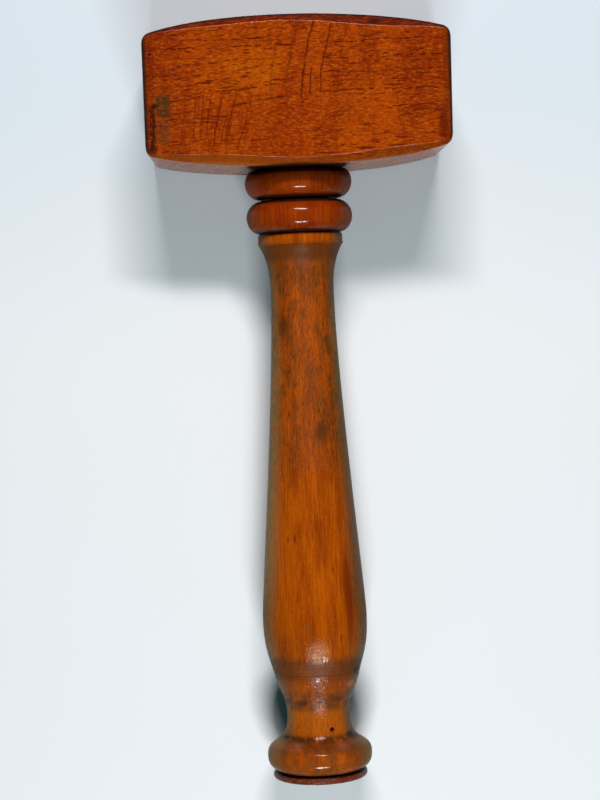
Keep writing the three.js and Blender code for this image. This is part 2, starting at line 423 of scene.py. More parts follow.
def bead(root, radius, length, steps, power=2.0, cut_off=0.0):
    """Half a superellipse standing out from its root, as radii and drops: its half axes are its height and
    half its length, and a power above 2 flattens its crest. The head's underside may cut off some of its
    top."""
    turn = np.linspace(math.acos(1 - 2 * cut_off / length), math.pi, steps)
    out, along = squared_off(turn, power)
    return np.column_stack([root + (radius - root) * out, length / 2 * (1 - along) - cut_off])


def sweep(start, end, length, shares, steps):
    """Cubic curve from one radius to another, as radii and drops, led by two guide points that are shares of
    its length and of its change of radius."""
    t = np.linspace(0, 1, steps)[:, None]
    guides = np.array([(0, 0), shares[:2], shares[2:], (1, 1)]) * (length, end - start)
    curve = sum(
        factor * (1 - t) ** (3 - i) * t ** i * guides[i] for i, factor in enumerate((1, 3, 3, 1))
    )
    return np.column_stack([start + curve[:, 1], curve[:, 0]])


def turned_outline():
    """The handle's outline from the tenon's end to the foot, as radii and stations along the axis."""
    band = bead(COVE_TOP, RING, RING_LENGTH, 24, RING_POWER)
    band[:, 0] += RING_FLARE * (band[:, 1] / RING_LENGTH - 0.5)
    runs = [
        bead(COLLAR_ROOT, FIRST_BEAD, FIRST_BEAD_LENGTH, 30, cut_off=FIRST_BEAD_CUT),
        np.array([(COLLAR_ROOT, BEAD_GAP)]),
        bead(COLLAR_ROOT, SECOND_BEAD, SECOND_BEAD_LENGTH, 34),
        np.array([(QUIRK, 0), (QUIRK, QUIRK_LENGTH)]),
        band,
        sweep(COVE_TOP, NECK, COVE_LENGTH, COVE_SHARES, 18),
        sweep(NECK, SWELL, GRIP_LENGTH, GRIP_SHARES, 110),
        sweep(SWELL, CREASE, FALL_LENGTH, FALL_SHARES, 28),
        bead(CREASE_ROOT, CREASE, CREASE_LENGTH, 10),
        sweep(CREASE_ROOT, WAIST, WAIST_DROP, WAIST_SHARES, 22),
        sweep(WAIST, ANKLE, WAIST_RISE, ANKLE_SHARES, 18),
        np.array([(FOOT_ROOT, FOOT_QUIRK_LENGTH)]),
        bead(FOOT_ROOT, FOOT_BEAD, FOOT_BEAD_LENGTH, 36, FOOT_BEAD_POWER),
    ]
    station = -JOINT_GAP
    points = [np.array([(TENON_RADIUS, TENON_TOP), (TENON_RADIUS, station)])]
    for run in runs:
        points.append(np.column_stack([run[:, 0], station - run[:, 1]]))
        station -= run[-1, 1]
    outline = np.concatenate(points)
    moved = np.linalg.norm(np.diff(outline, axis=0), axis=1) > 1e-6
    return rubbed(outline[np.concatenate([[True], moved])])


def rubbed(outline):
    """Outline with its crease and its foot quirk rubbed soft: there each radius becomes the mean of the
    radii around it, weighted by a bell curve of the rub's width along the axis."""
    station = outline[:, 1]
    soft = outline.copy()
    for middle, reach, width in RUBBED:
        near = np.abs(station - middle) < reach
        around = np.linspace(-3 * width, 3 * width, 25)
        weights = np.exp(-(around / width) ** 2 / 2)
        radii = np.interp(-(station[near][:, None] + around), -station, outline[:, 0])
        blend = np.cos((station[near] - middle) / reach * math.pi / 2) ** 2
        soft[near, 0] += blend * (radii @ weights / weights.sum() - outline[near, 0])
    return soft


def handle_rings(outline):
    """Turned surface: the outline's radius, less a smooth wear up to the handling wear, at every angle about
    the axis. Inside the head it is widened along x toward its top, where the wedge has sprung it open."""
    turn = once_round(160)
    radius, y = outline[:, :1], outline[:, 1:]
    worn = HANDLING_WEAR * (1 - ripple(y, turn, HANDLE_WAVES)) / 2 * (y < -JOINT_GAP)
    widening = TENON_SPREAD * np.clip(y, 0, None) / HEAD_HEIGHT / TENON_RADIUS
    radius = radius - worn
    return ring_points(radius * np.sin(turn) * (1 + widening), y, radius * np.cos(turn))


def kerf_half(y):
    """Half the width of the saw kerf at a height: opened in proportion to the height above the shoulder."""
    return KERF_WIDTH / 2 + TENON_SPREAD * y / HEAD_HEIGHT


def kerf_bar(name, low, high, clearance, half_depth, steps, power):
    """Tapering bar that fills the kerf between two heights: each ring is a superellipse of the given
    power."""
    y = np.linspace(low, high, 9)[:, None]
    along, across = squared_off(once_round(steps), power)
    rows = ring_points((kerf_half(y) - clearance) * across, y, half_depth * along)
    return shell(name, rows, (0, low, 0), (0, high, 0))


def disc_outline(seat):
    """Foot disc's outline: spigot, flat top and a rim that is a quarter circle above and below."""
    top = seat - JOINT_GAP
    turn = np.linspace(0, math.pi, 16)
    rim = np.column_stack([
        DISC - DISC_EDGE + DISC_EDGE * np.sin(turn),
        top - DISC_THICKNESS / 2 + (DISC_THICKNESS / 2) * np.cos(turn),
    ])
    flat = np.linspace(DISC - DISC_EDGE, SPIGOT, 8)[1:-1]
    return np.concatenate([
        [(SPIGOT, top + SPIGOT_LENGTH), (SPIGOT, top)],
        np.column_stack([flat[::-1], np.full_like(flat, top)]),
        rim,
        np.column_stack([flat, np.full_like(flat, top - DISC_THICKNESS)]),
    ])


def disc_rings(outline):
    """Turned disc whose rim is chipped inward by a smooth unevenness that dies out toward the spigot, with
    the eighth power of the radius."""
    turn = once_round(180)
    radius, y = outline[:, :1], outline[:, 1:]
    chipped = RIM_CHIPS * (1 - ripple(y, turn, RIM_WAVES)) / 2 * np.clip(radius / DISC, 0, 1) ** 8
    radius = radius - chipped
    return ring_points(radius * np.sin(turn), y, radius * np.cos(turn))


# Finishes

# Share of a varnish's mirror light that is left where it is sound, and where it is worn
FULL_GLOSS = 0.16
WORN_GLOSS = 0.03


def linear(code):
    """Scene-linear colour of an sRGB hex code."""
    parts = [int(code[i:i + 2], 16) / 255 for i in (1, 3, 5)]
    return (*[p / 12.92 if p <= 0.04045 else ((p + 0.055) / 1.055) ** 2.4 for p in parts], 1.0)


def put(tree, kind, inputs=(), out=0, **settings):
    """Adds a shader node with its settings. Its inputs are values or outputs of other nodes, by name or in
    order, and it hands on one of its outputs."""
    node = tree.nodes.new("ShaderNode" + kind)
    for name, value in settings.items():
        setattr(node, name, value)
    pairs = inputs.items() if isinstance(inputs, dict) else enumerate(inputs)
    for key, value in pairs:
        if isinstance(value, bpy.types.NodeSocket):
            tree.links.new(value, node.inputs[key])
        else:
            node.inputs[key].default_value = value
    return node.outputs[out] if node.outputs else None


def between(tree, value, start, end, low=0.0, high=1.0):
    """A value's smooth rise from low, where it is at start, to high, where it is at end."""
    ends = {"Value": value, "From Min": start, "From Max": end, "To Min": low, "To Max": high}
    return put(tree, "MapRange", ends, interpolation_type="SMOOTHSTEP")


def product(tree, *values):
    """Product of several values."""
    total = values[0]
    for value in values[1:]:
        total = put(tree, "Math", (total, value), operation="MULTIPLY")
    return total


def laid_over(tree, colour, layers):
    """A colour with layers laid over it in turn: each has its mask, its own colour and, unless it is 1, its
    strength. A colour is a hex code or another node's output."""
    for mask, tint, *strength in layers:
        mask = product(tree, mask, *strength)
        under, over = (linear(c) if isinstance(c, str) else c for c in (colour, tint))
        colour = put(tree, "Mix", {0: mask, 6: under, 7: over}, out=2, data_type="RGBA")
    return colour


def wood_space(tree, axes):
    """Millimetres along the wood's rays, across them and along its grain, from the shoulder. The axes say
    which of the gavel's own directions each of the three follows."""
    own = np.zeros((3, 3))
    own[list(axes), range(3)] = 1
    turn = (leaning @ Matrix(own.tolist())).to_euler()
    seat = {"Location": shoulder, "Rotation": turn, "Scale": (MM, MM, MM)}
    seat["Vector"] = put(tree, "TexCoord", out="Object")
    return put(tree, "Mapping", seat, vector_type="TEXTURE")


def scaled(tree, place, *sizes):
    """A place divided by a size in each direction, so that one unit of the result is so many millimetres."""
    shares = tuple(1 / size for size in sizes)
    return put(tree, "VectorMath", (place, shares), operation="MULTIPLY")


def noise(tree, place, sizes, detail=2.0, roughness=0.5):
    """Cloudy pattern from 0 to 1, with patches of the given sizes in millimetres."""
    settings = {"Scale": 1.0, "Detail": detail, "Roughness": roughness}
    return put(tree, "TexNoise", {"Vector": scaled(tree, place, *sizes), **settings})


def bent(tree, place, sizes, pushes):
    """A place pushed about by clouds of the given sizes, by up to the given distances in millimetres."""
    settings = {"Vector": scaled(tree, place, *sizes), "Scale": 1.0, "Detail": 1.0}
    push = put(tree, "TexNoise", settings, out="Color")
    push = put(tree, "VectorMath", (push, (0.5, 0.5, 0.5)), operation="SUBTRACT")
    push = put(tree, "VectorMath", (push, tuple(4 * part for part in pushes)), operation="MULTIPLY")
    return put(tree, "VectorMath", (place, push), operation="ADD")


def window(tree, value, low, high, soft):
    """1 where a value lies between low and high, falling smoothly to 0 within a softness of both."""
    rise = between(tree, value, low - soft, low + soft)
    return product(tree, rise, between(tree, value, high + soft, high - soft))


def patch(tree, place, centre, radii, core=0.3):
    """1 in the core of an egg-shaped patch about a centre, falling smoothly to 0 at its radii."""
    away = scaled(tree, put(tree, "VectorMath", (place, centre), operation="SUBTRACT"), *radii)
    return between(tree, put(tree, "VectorMath", (away,), out="Value", operation="LENGTH"), 1.0, core)


def on_handle(station, degrees, radius):
    """Place on the handle, outward, across and along, from its station, its turn and its radius there."""
    turn = math.radians(degrees)
    return (radius * math.cos(turn), radius * math.sin(turn), station)


def lines_at(tree, value, lines):
    """Thin lines where a value passes the given places, each with half its width and its strength."""
    low = lines[0][0] - 2
    high = lines[-1][0] + 2
    share = put(tree, "MapRange", {"Value": value, "From Min": low, "From Max": high})
    drawn = put(tree, "ValToRGB", (share,))
    stops = drawn.node.color_ramp.elements
    stops[1].color = stops[0].color
    for place, half, strength in lines:
        for shift, level in ((-half, 0.0), (0.0, strength), (half, 0.0)):
            stop = stops.new((place + shift - low) / (high - low))
            stop.color = (level, level, level, 1.0)
    return drawn


def ray_marks(tree, place, sizes, faintest, reach):
    """Dark marks of the wood's rays: thin ribbons about the given half sizes in millimetres, along the ray,
    through its thickness and along the grain, the more crowded the longer their reach. Each has its own
    strength, down to the faintest."""
    cells = scaled(tree, place, *(size / reach for size in sizes))
    near = put(tree, "TexVoronoi", {"Vector": cells, "Scale": 1.0}, out="Distance")
    strength = put(tree, "SeparateColor", (near.node.outputs["Color"],))
    inside = between(tree, near, reach, reach * 0.4)
    return product(tree, inside, between(tree, strength, 0.1, 0.9, faintest, 1.0))


def varnished(tree, colour, roughness, height, depth_mm, gloss=FULL_GLOSS):
    """Wood under a clear varnish: the wood's own colour, the varnish's roughness and its relief to a depth,
    and how much of its mirror light is left."""
    relief = {"Height": height, "Distance": depth_mm * MM, "Strength": 1.0}
    shader = {
        "Base Color": colour,
        "Roughness": roughness,
        "IOR": 1.5,
        "Specular IOR Level": gloss,
        "Normal": put(tree, "Bump", relief),
    }
    put(tree, "OutputMaterial", {"Surface": put(tree, "BsdfPrincipled", shader)})


def new_material(name):
    """Empty material and its node tree."""
    material = bpy.data.materials.new(name)
    material.use_nodes = True
    material.node_tree.nodes.clear()
    return material, material.node_tree


def head_beech():
    """Beech, sawn so that the front and back are end grain, stained orange-brown and varnished. End grain
    drinks the stain unevenly: dark dashes where the rays run along the head, and thin upright growth lines.
    An old label has left a stain at the left end. The edges along the top and round the ends, and the
    underside round the collar, are painted dark as shade, and the underside is painted pale as a painted
    reflection of the paper."""
    material, tree = new_material("stained_beech_end_grain_varnished")
    place = wood_space(tree, (0, 1, 2))
    x, y, z = put(tree, "SeparateXYZ", (place,)).node.outputs
    # Rays run along the head in rows, which rise to the left of the middle, and are broken into dashes
    swayed = bent(tree, bent(tree, place, (16, 9, 40), (0, 0.6, 0)), (2.4, 1.2, 8), (0.25, 0.22, 0))
    swayed_y = put(tree, "SeparateXYZ", (swayed,), out=1)
    rise = put(tree, "Math", (x, 20), operation="ADD")
    rise = product(tree, rise, between(tree, y, 39, 33, 0, 0.13))
    risen_y = put(tree, "Math", (swayed_y, rise), operation="SUBTRACT")
    left_rows = product(tree, lines_at(tree, risen_y, LEFT_RAY_ROWS), window(tree, x, -47, -2, 2))
    right_rows = product(tree, lines_at(tree, swayed_y, RIGHT_RAY_ROWS), window(tree, x, 6, 51.5, 2))
    rows = put(tree, "Math", (left_rows, right_rows), operation="MAXIMUM")
    broken = between(tree, noise(tree, place, (3.2, 1.6, 30), 2.0, 0.6), 0.46, 0.53)
    rows = product(tree, rows, broken)
    bold = ray_marks(tree, swayed, (4.6, 0.42, 5.0), 0.5, 0.36)
    bold = product(tree, bold, between(tree, noise(tree, swayed, (30, 2.4, 40), 1.0), 0.45, 0.53))
    fine = ray_marks(tree, swayed, (1.6, 0.24, 1.0), 0.4, 0.4)
    # Growth lines stand upright right of the middle and bend to the right at the top
    wavy = bent(tree, place, (4, 5, 30), (0.3, 0, 0))
    wavy_x, wavy_y = put(tree, "SeparateXYZ", (wavy,)).node.outputs[:2]
    ring = put(tree, "Math", (wavy_x, between(tree, y, 24, 80, 0, 12)), operation="SUBTRACT")
    faded = between(tree, noise(tree, place, (9, 9, 30)), 0.3, 0.45)
    upright = product(tree, lines_at(tree, ring, RIGHT_GROWTH_LINES), between(tree, y, 14, 30), faded)
    black = product(tree, lines_at(tree, ring, [(4.8, 0.34, 1.0)]), window(tree, y, 24, 33, 1.0))
    # Further left they fan out, and crowd into streaks near the lower edge
    spread = put(tree, "Math", (y, 20), operation="SUBTRACT")
    spread = product(tree, spread, between(tree, x, -36, -22, 0.1, 0.3))
    fanned = put(tree, "Math", (wavy_x, spread), operation="SUBTRACT")
    fan = product(tree, lines_at(tree, fanned, LEFT_GROWTH_LINES), window(tree, y, 9, 24.5, 2.5))
    fanned_place = put(tree, "CombineXYZ", (fanned, y, z))
    streaks = between(tree, noise(tree, fanned_place, (0.55, 14, 40), 3.0, 0.6), 0.5, 0.68)
    streaks = product(tree, streaks, patch(tree, place, (-30, 9, 27), (20, 17, 60), 0.4))
    # Low at the right end they curl round a knot that the end cut has missed, above two short checks
    curl = put(tree, "VectorMath", (wavy, (45, -1.05, 0)), operation="SUBTRACT")
    curl = put(tree, "VectorMath", (curl, (1, 1, 0)), operation="MULTIPLY")
    curl = put(tree, "VectorMath", (curl,), out="Value", operation="LENGTH")
    curl = product(tree, lines_at(tree, curl, CURL_LINES), window(tree, x, 36, 51.5, 2.0))
    curl = product(tree, curl, between(tree, y, 8, 12))
    checks = put(tree, "Math", (wavy_x, 43), operation="SUBTRACT")
    checks = put(tree, "Math", (checks, -0.25, wavy_y), operation="MULTIPLY_ADD")
    checks = product(tree, lines_at(tree, checks, CHECK_LINES), window(tree, x, 40, 51, 1.5))
    speckle = noise(tree, place, (1.2, 0.55, 8), 3.0, 0.65)
    mottle = noise(tree, swayed, (9, 20, 40), 4.0, 0.6)
    tone = laid_over(tree, "#8d2e04", [(between(tree, mottle, 0.3, 0.68), "#a84204")])
    # The crown's height at x is the same curve that its shape follows
    crown = MORTISE_OFFSET + CROWN_MIDDLE
    ends = {"Value": x, "From Min": crown, "From Max": crown + HEAD_LENGTH / 2}
    s = put(tree, "MapRange", ends, clamp=False)
    squared = product(tree, s, s)
    fuller = put(tree, "Math", (squared, FULLNESS_SHARE, 1 - FULLNESS_SHARE), operation="MULTIPLY_ADD")
    leaned = put(tree, "Math", (s, CROWN_LEAN_SHARE, 1), operation="MULTIPLY_ADD")
    drop = product(tree, squared, fuller, leaned)
    level = put(tree, "Math", (drop, CROWN_RISE, y), operation="MULTIPLY_ADD")
    front_chamfer = window(tree, z, 22.5, 27.3, 0.15)
    near_top = between(tree, level, HEAD_HEIGHT - 4.6, HEAD_HEIGHT - 3.9)
    upper_chamfer = product(tree, front_chamfer, near_top)
    lower_chamfer = product(tree, front_chamfer, between(tree, y, 12, 9))
    at_top = between(tree, level, HEAD_HEIGHT - 0.9, HEAD_HEIGHT - 0.2)
    top_outline_painted_shade = product(tree, between(tree, z, 21, 24), at_top)
    from_middle = put(tree, "Math", (x, MORTISE_OFFSET), operation="SUBTRACT")
    from_middle = put(tree, "Math", (from_middle,), operation="ABSOLUTE")
    end_painted_shade = product(tree, between(tree, from_middle, 51.5, 52.6), between(tree, z, 21, 26))
    cloudy = between(tree, noise(tree, place, (1.2, 1.2, 1.2), 3.0, 0.6), 0.35, 0.6, 0.6, 1.0)
    ragged = bent(tree, place, (1.6, 1.6, 4), (0.5, 0.5, 0))
    ragged_x, ragged_y = put(tree, "SeparateXYZ", (ragged,)).node.outputs[:2]
    stain = product(tree, window(tree, ragged_x, -48.2, -43.6, 0.3), cloudy)
    stain = product(tree, stain, window(tree, ragged_y, 17.8, 25.3, 0.3))
    low_stain = product(tree, window(tree, ragged_x, -48.5, -43.8, 1.0), cloudy)
    low_stain = product(tree, low_stain, window(tree, ragged_y, 8, 17, 1.5))
    column = product(tree, window(tree, ragged_x, -50.7, -48.8, 0.4), window(tree, y, 5.5, 21, 1.5))
    column = product(tree, column, between(tree, noise(tree, place, (0.7, 2.4, 4), 3.0, 0.6), 0.36, 0.5))
    stained_chamfer = between(tree, noise(tree, place, (2.4, 1.0, 1.0), 3.0, 0.6), 0.42, 0.66)
    stained_chamfer = laid_over(tree, "#571403", [(stained_chamfer, "#8c3209")])
    underside = product(tree, between(tree, y, 9, 7), between(tree, z, 25.5, 24.5))
    collar_painted_shade = patch(tree, place, (0, 0, 12), (24, 2.2, 17), 0.75)
    front = between(tree, z, 22, 26)
    left_end = product(tree, between(tree, x, -48.0, -49.4), between(tree, speckle, 0.3, 0.6, 0.7, 0.35))
    colour = laid_over(tree, tone, [
        (patch(tree, place, (-14, 33, 27), (17, 13, 60)), "#ba5604", 0.6),
        (patch(tree, place, (28, 22, 27), (15, 9, 60)), "#b44a03", 0.5),
        (patch(tree, place, (-1, 20, 27), (9, 26, 60)), "#8a2604", 0.55),
        (product(tree, between(tree, x, -33, -40), front), "#7e2406", 0.4),
        (product(tree, between(tree, x, 33, 42), between(tree, y, 24, 34)), "#842505", 0.4),
        (between(tree, speckle, 0.5, 0.68, 0, 0.55), "#cd670e"),
        (between(tree, speckle, 0.5, 0.3, 0, 0.55), "#5a1805"),
        (product(tree, left_end, front), "#631a07"),
        (product(tree, between(tree, x, 50.3, 51.6), front), "#5c1f08", 0.5),
        (patch(tree, place, (50.3, 12, 27), (2.2, 9, 20)), "#5c1206", 0.7),
        (streaks, "#6d1504", 0.75),
        (fine, "#5a1103", 0.85),
        (upright, "#4d0e04", 0.95),
        (fan, "#651203", 0.9),
        (curl, "#471006", 0.9),
        (checks, "#471006", 0.85),
        (bold, "#520c03", 0.9),
        (rows, "#430a03"),
        (black, "#170a07", 0.9),
        (upper_chamfer, stained_chamfer, 0.9),
        (product(tree, lower_chamfer, 0.5, between(tree, x, -6, 20, 1.0, 0.25)), "#b4560f"),
        # Painted reflection: the underside is painted pale, as if it mirrored the paper at a grazing angle
        (underside, "#c8864a", 0.25),
        (low_stain, "#453a1c", 0.45),
        (stain, "#3a3016", 0.88),
        (column, "#1f0f08", 0.78),
        (patch(tree, place, (-49.0, 21.5, 27), (1.7, 1.4, 3)), "#150f08", 0.85),
        (patch(tree, place, (28.0, 48.2, 26), (3.4, 1.8, 4), 0.1), "#240b05", 0.75),
        # Painted shade: the underside is painted near black round the collar, in the corner where it meets
        # the first bead
        (collar_painted_shade, "#0c0705", 0.93),
        # Painted shade: the top's far edge, which turns away from the lamps, is painted dark
        (top_outline_painted_shade, "#150d08", 0.85),
        # Painted shade: the rounded corners of both ends, which turn away from the lamps, are painted dark
        (end_painted_shade, "#1f1c13", 0.85),
    ])
    skin = noise(tree, place, (0.9, 0.7, 0.7), 2.0, 0.6)
    height = put(tree, "Math", (speckle, 0.4, skin), operation="MULTIPLY_ADD")
    # The varnish is worn off the upper chamfer and, in streaks, off the underside
    worn_streaks = between(tree, noise(tree, place, (7, 3, 14), 3.0, 0.6), 0.6, 0.4, 0.8, 1)
    underside = product(tree, underside, worn_streaks)
    worn_off = put(tree, "Math", (upper_chamfer, underside), operation="MAXIMUM")
    gloss = between(tree, worn_off, 0, 1, FULL_GLOSS, WORN_GLOSS)
    varnished(tree, colour, between(tree, underside, 0, 1, 0.14, 0.23), height, 0.012, gloss)
    return material


def handle_beech():
    """Beech turned along its grain, stained and varnished, and darkened where hands have held it. The long
    grain gives fine upright streaks, with short dark dashes where the rays end on the front. Grime sits in
    the cove and the quirks, and the lathe has left fine rings in the cove and above the waist. The grooves
    between the beads and the first bead's top under the head are painted dark as shade, the sides are
    painted pale as a painted reflection of the paper, the left most, the grip's right side is painted darker
    as shade, and a pale patch above the waist paints the haze of the lamps' highlight."""
    material, tree = new_material("stained_beech_turned_varnished")
    place = wood_space(tree, (2, 0, 1))
    outward, across, along = put(tree, "SeparateXYZ", (place,)).node.outputs
    angle = put(tree, "Math", (across, outward), operation="ARCTAN2")
    aside = put(tree, "Math", (angle,), operation="ABSOLUTE")
    radius = put(tree, "CombineXYZ", (outward, across))
    radius = put(tree, "VectorMath", (radius,), out="Value", operation="LENGTH")
    swayed = bent(tree, place, (6, 3, 12), (0, 0.25, 0))
    dashes = ray_marks(tree, swayed, (4.0, 0.22, 1.4), 0.3, 0.32)
    streaks = noise(tree, swayed, (1.3, 0.45, 15), 4.0, 0.65)
    hairs = between(tree, noise(tree, swayed, (1.0, 0.3, 2.6), 3.0, 0.65), 0.5, 0.38)
    fine_hairs = between(tree, noise(tree, place, (0.8, 0.24, 1.5), 3.0, 0.7), 0.47, 0.38)
    speckle = noise(tree, place, (0.7, 0.45, 1.1), 3.0, 0.65)
    mottle = noise(tree, place, (9, 5, 26), 3.0, 0.6)
    blotches = noise(tree, place, (4, 3, 2.2), 4.0, 0.6)
    lathe = noise(tree, place, (60, 60, 0.55), 2.0, 0.7)
    clouds = between(tree, noise(tree, swayed, (7, 3.4, 7), 4.0, 0.65), 0.42, 0.6)
    worn = between(tree, blotches, 0.35, 0.6)
    # Parts of the handle: its beads, where hands hold it, its hollows, its foot and its two sides
    beads = window(tree, along, -23.4, 0, 0.6)
    held = product(tree, window(tree, along, -100, -36, 9), clouds, between(tree, aside, 0.2, 0.8, 0.75, 1))
    grimy_hairs = product(tree, between(tree, held, 0, 1, 0.25, 1), hairs)
    grimy_hairs = product(tree, grimy_hairs, window(tree, along, -108, -30, 6))
    cove = product(tree, window(tree, along, -32.5, -26.7, 1.6), between(tree, speckle, 0.3, 0.6, 0.7, 1))
    below_cove = product(tree, window(tree, along, -41, -30, 4), worn)
    waist_top = product(tree, window(tree, along, -193, -186.5, 1.6), between(tree, worn, 0, 1, 0.35, 1))
    quirk = product(tree, window(tree, along, -204.4, -202.2, 0.9), between(tree, blotches, 0.3, 0.55))
    foot = window(tree, along, -216, -204.4, 1.0)
    rough = window(tree, along, -201, -163, 6)
    matte_band = window(tree, along, -180.5, -175, 1.2)
    ring_dirt = product(tree, window(tree, along, -182, -174, 2.2), between(tree, lathe, 0.35, 0.6, 0.7, 1))
    painted_shade_under_head = window(tree, along, -1.9, 0.5, 0.4)
    sides = window(tree, aside, 1.0, 2.1, 0.3)
    sides_painted_sheen_and_grime = product(tree, sides, between(tree, beads, 0, 1, 1, 0.2), between(tree, along, 1, -1))
    tenon_end = product(tree, between(tree, along, 48, 51), between(tree, speckle, 0.3, 0.6, 0.6, 0.9))
    left_painted_sheen = product(tree, window(tree, angle, -2.1, -0.9, 0.3), window(tree, along, -152, -62, 14))
    right_painted_shade = between(tree, along, -70, -120, 0.45, 0.6)
    right_painted_shade = product(tree, window(tree, angle, 0.9, 2.1, 0.4), right_painted_shade)
    tone = laid_over(tree, "#943a03", [(between(tree, mottle, 0.3, 0.68), "#b65003")])
    spots = []
    for *seat, wide, tall, tint, strength in SPOTS:
        spot = patch(tree, place, on_handle(*seat), (wide, wide, tall))
        spots.append((spot, tint, strength))
    colour = laid_over(tree, tone, [
        (between(tree, streaks, 0.5, 0.72, 0, 0.5), "#cc6c0a"),
        (between(tree, streaks, 0.5, 0.28, 0, 0.6), "#642204"),
        (between(tree, speckle, 0.5, 0.72, 0, 0.35), "#ca7118"),
        (window(tree, along, -202, -193, 2.0), "#c46c1a", 0.35),
        (beads, "#942a03", 0.5),
        (product(tree, beads, between(tree, streaks, 0.5, 0.32)), "#5c1203", 0.6),
        (product(tree, beads, between(tree, mottle, 0.4, 0.62)), "#701603", 0.5),
        (product(tree, dashes, between(tree, held, 0, 1, 0.4, 0.8)), "#3a1608"),
        (held, "#623a12", 0.55),
        (grimy_hairs, "#331a0a", 0.55),
        (product(tree, window(tree, along, -112, -27, 7), fine_hairs), "#38200e", 0.5),
        # Painted reflection: the sides are painted khaki grey, as if they mirrored the pale paper; the dark
        # hairs below are real grime
        (product(tree, sides_painted_sheen_and_grime, between(tree, blotches, 0.3, 0.6, 0.3, 0.7)), "#8c7e46"),
        # Painted reflection: the grip's left side is painted paler still, as if it mirrored the paper
        (left_painted_sheen, "#cf9a5a", 0.3),
        (product(tree, sides_painted_sheen_and_grime, hairs), "#2c200e", 0.5),
        # Painted shade: the grip's right side is painted darker
        (right_painted_shade, "#38240a"),
        (below_cove, "#52300f", 0.4),
        (cove, "#573214", 0.8),
        # Painted shade: the grooves beside the beads are painted near black below a radius of about 17 mm
        (product(tree, beads, between(tree, radius, 17.4, 16.2)), "#1a0d06", 0.9),
        # Painted shade: the first bead's top, under the head's overhang, is painted near black
        (painted_shade_under_head, "#120a06", 0.85),
        (tenon_end, "#5c3212"),
        (window(tree, along, -186, -181, 1.5), "#5d4526", 0.15),
        (ring_dirt, "#3d2c16", 0.66),
        (waist_top, "#48341f", 0.62),
        (product(tree, rough, between(tree, speckle, 0.4, 0.6)), "#4a3c22", 0.12),
        (quirk, "#32261a", 0.8),
        (product(tree, foot, worn), "#5a3f20", 0.5),
        # Painted reflection: the foot bead's sides are painted pale tan, as if they mirrored the paper
        (product(tree, foot, sides), "#a07a48", 0.35),
        *spots,
    ])
    # The varnish is worn off the upper grip and the sides, and pitted above the foot
    shine = between(tree, window(tree, along, -108, -28, 4), 0, 1, 0.13, 0.42)
    for mask, roughness in ((sides, 0.38), (rough, 0.2), (matte_band, 0.46)):
        shine = put(tree, "Math", (shine, product(tree, mask, roughness)), operation="MAXIMUM")
    pits = product(tree, noise(tree, place, (0.9, 0.9, 0.8), 2.0, 0.6), rough, 34.0)
    turning = product(tree, lathe, cove, 3.0)
    height = speckle
    for more in (streaks, pits, turning):
        height = put(tree, "Math", (height, more), operation="ADD")
    # It shines least on the sides, in the cove, and at both ends of the pitted part, which sparkles. Where
    # it has run down and dried in drops, it is smooth and shines fully
    worn_off = between(tree, aside, 0.35, 0.9)
    worn_off = put(tree, "Math", (worn_off, product(tree, cove, 0.8)), operation="MAXIMUM")
    gloss = between(tree, worn_off, 0, 1, FULL_GLOSS, WORN_GLOSS)
    dull_grip = window(tree, along, -170, -150, 6)
    dull_waist = window(tree, along, -198, -193.5, 2.5)
    dull = put(tree, "Math", (dull_grip, dull_waist), operation="MAXIMUM")
    gloss = product(tree, gloss, between(tree, dull, 0, 1, 1.1, 0.5))
    sparkle = between(tree, noise(tree, place, (0.6, 0.6, 0.6), 2.0, 0.6), 0.56, 0.7)
    gloss = put(tree, "Math", (product(tree, sparkle, rough, 0.3), gloss), operation="MAXIMUM")
    for *seat, wide in DROPS:
        drop = patch(tree, place, on_handle(*seat), (wide, wide, wide))
        gloss = put(tree, "Math", (gloss, drop), operation="MAXIMUM")
        shine = product(tree, shine, between(tree, drop, 0, 1, 1, 0.4))
    varnished(tree, colour, shine, height, 0.006, gloss)
    return material


def wedge_beech():
    """Beech wedge, sawn off flush: its end grain has taken up dirt and looks darker than the head."""
    material, tree = new_material("beech_wedge_sawn")
    place = wood_space(tree, (2, 0, 1))
    streaks = noise(tree, place, (2.0, 0.5, 6.0), 4.0, 0.6)
    colour = laid_over(tree, "#6d3a14", [(between(tree, streaks, 0.35, 0.65), "#8c5220")])
    varnished(tree, colour, 0.5, streaks, 0.03)
    return material


def disc_beech():
    """Thin beech disc, stained red-brown. Its rim is end grain and long grain in turn, so the varnish has
    dried rough on it. Its upper edge is painted black as the shade under the foot bead."""
    material, tree = new_material("stained_beech_disc_rough_rim")
    place = wood_space(tree, (2, 0, 1))
    streaks = noise(tree, place, (1.2, 1.2, 0.8), 4.0, 0.65)
    along = put(tree, "SeparateXYZ", (place,)).node.outputs[2]
    upper_edge_painted_shade = between(tree, along, DISC_MIDDLE + 0.6, DISC_MIDDLE + 1.1)
    colour = laid_over(tree, "#632814", [
        (between(tree, streaks, 0.45, 0.7), "#984626"),
        (between(tree, streaks, 0.42, 0.3), "#35120a"),
        # Painted shade: the upper edge under the foot bead is painted near black
        (upper_edge_painted_shade, "#0d0806", 0.9),
    ])
    varnished(tree, colour, 0.4, streaks, 0.1)
    return material


# Stage

# Colours of the paper as it is seen, of the paper past the head, where it is painted darker as shade of the
# lamps' falling light, of the light that the paper sends back to the gavel, and of the light from the room
PAPER = "#f2f5f7"
PAPER_IN_PAINTED_SHADE = "#dfeaf2"
PAPER_LIGHT = "#7f8f98"
ROOM_LIGHT = "#0a4045"

# In metres: the y where the paper's painted shade is full, how far from its middle the lamps light it, and
# its half width
PAINTED_SHADE_FROM = 0.14
LIT_REACH = 0.25
FLOOR_REACH = 6.0

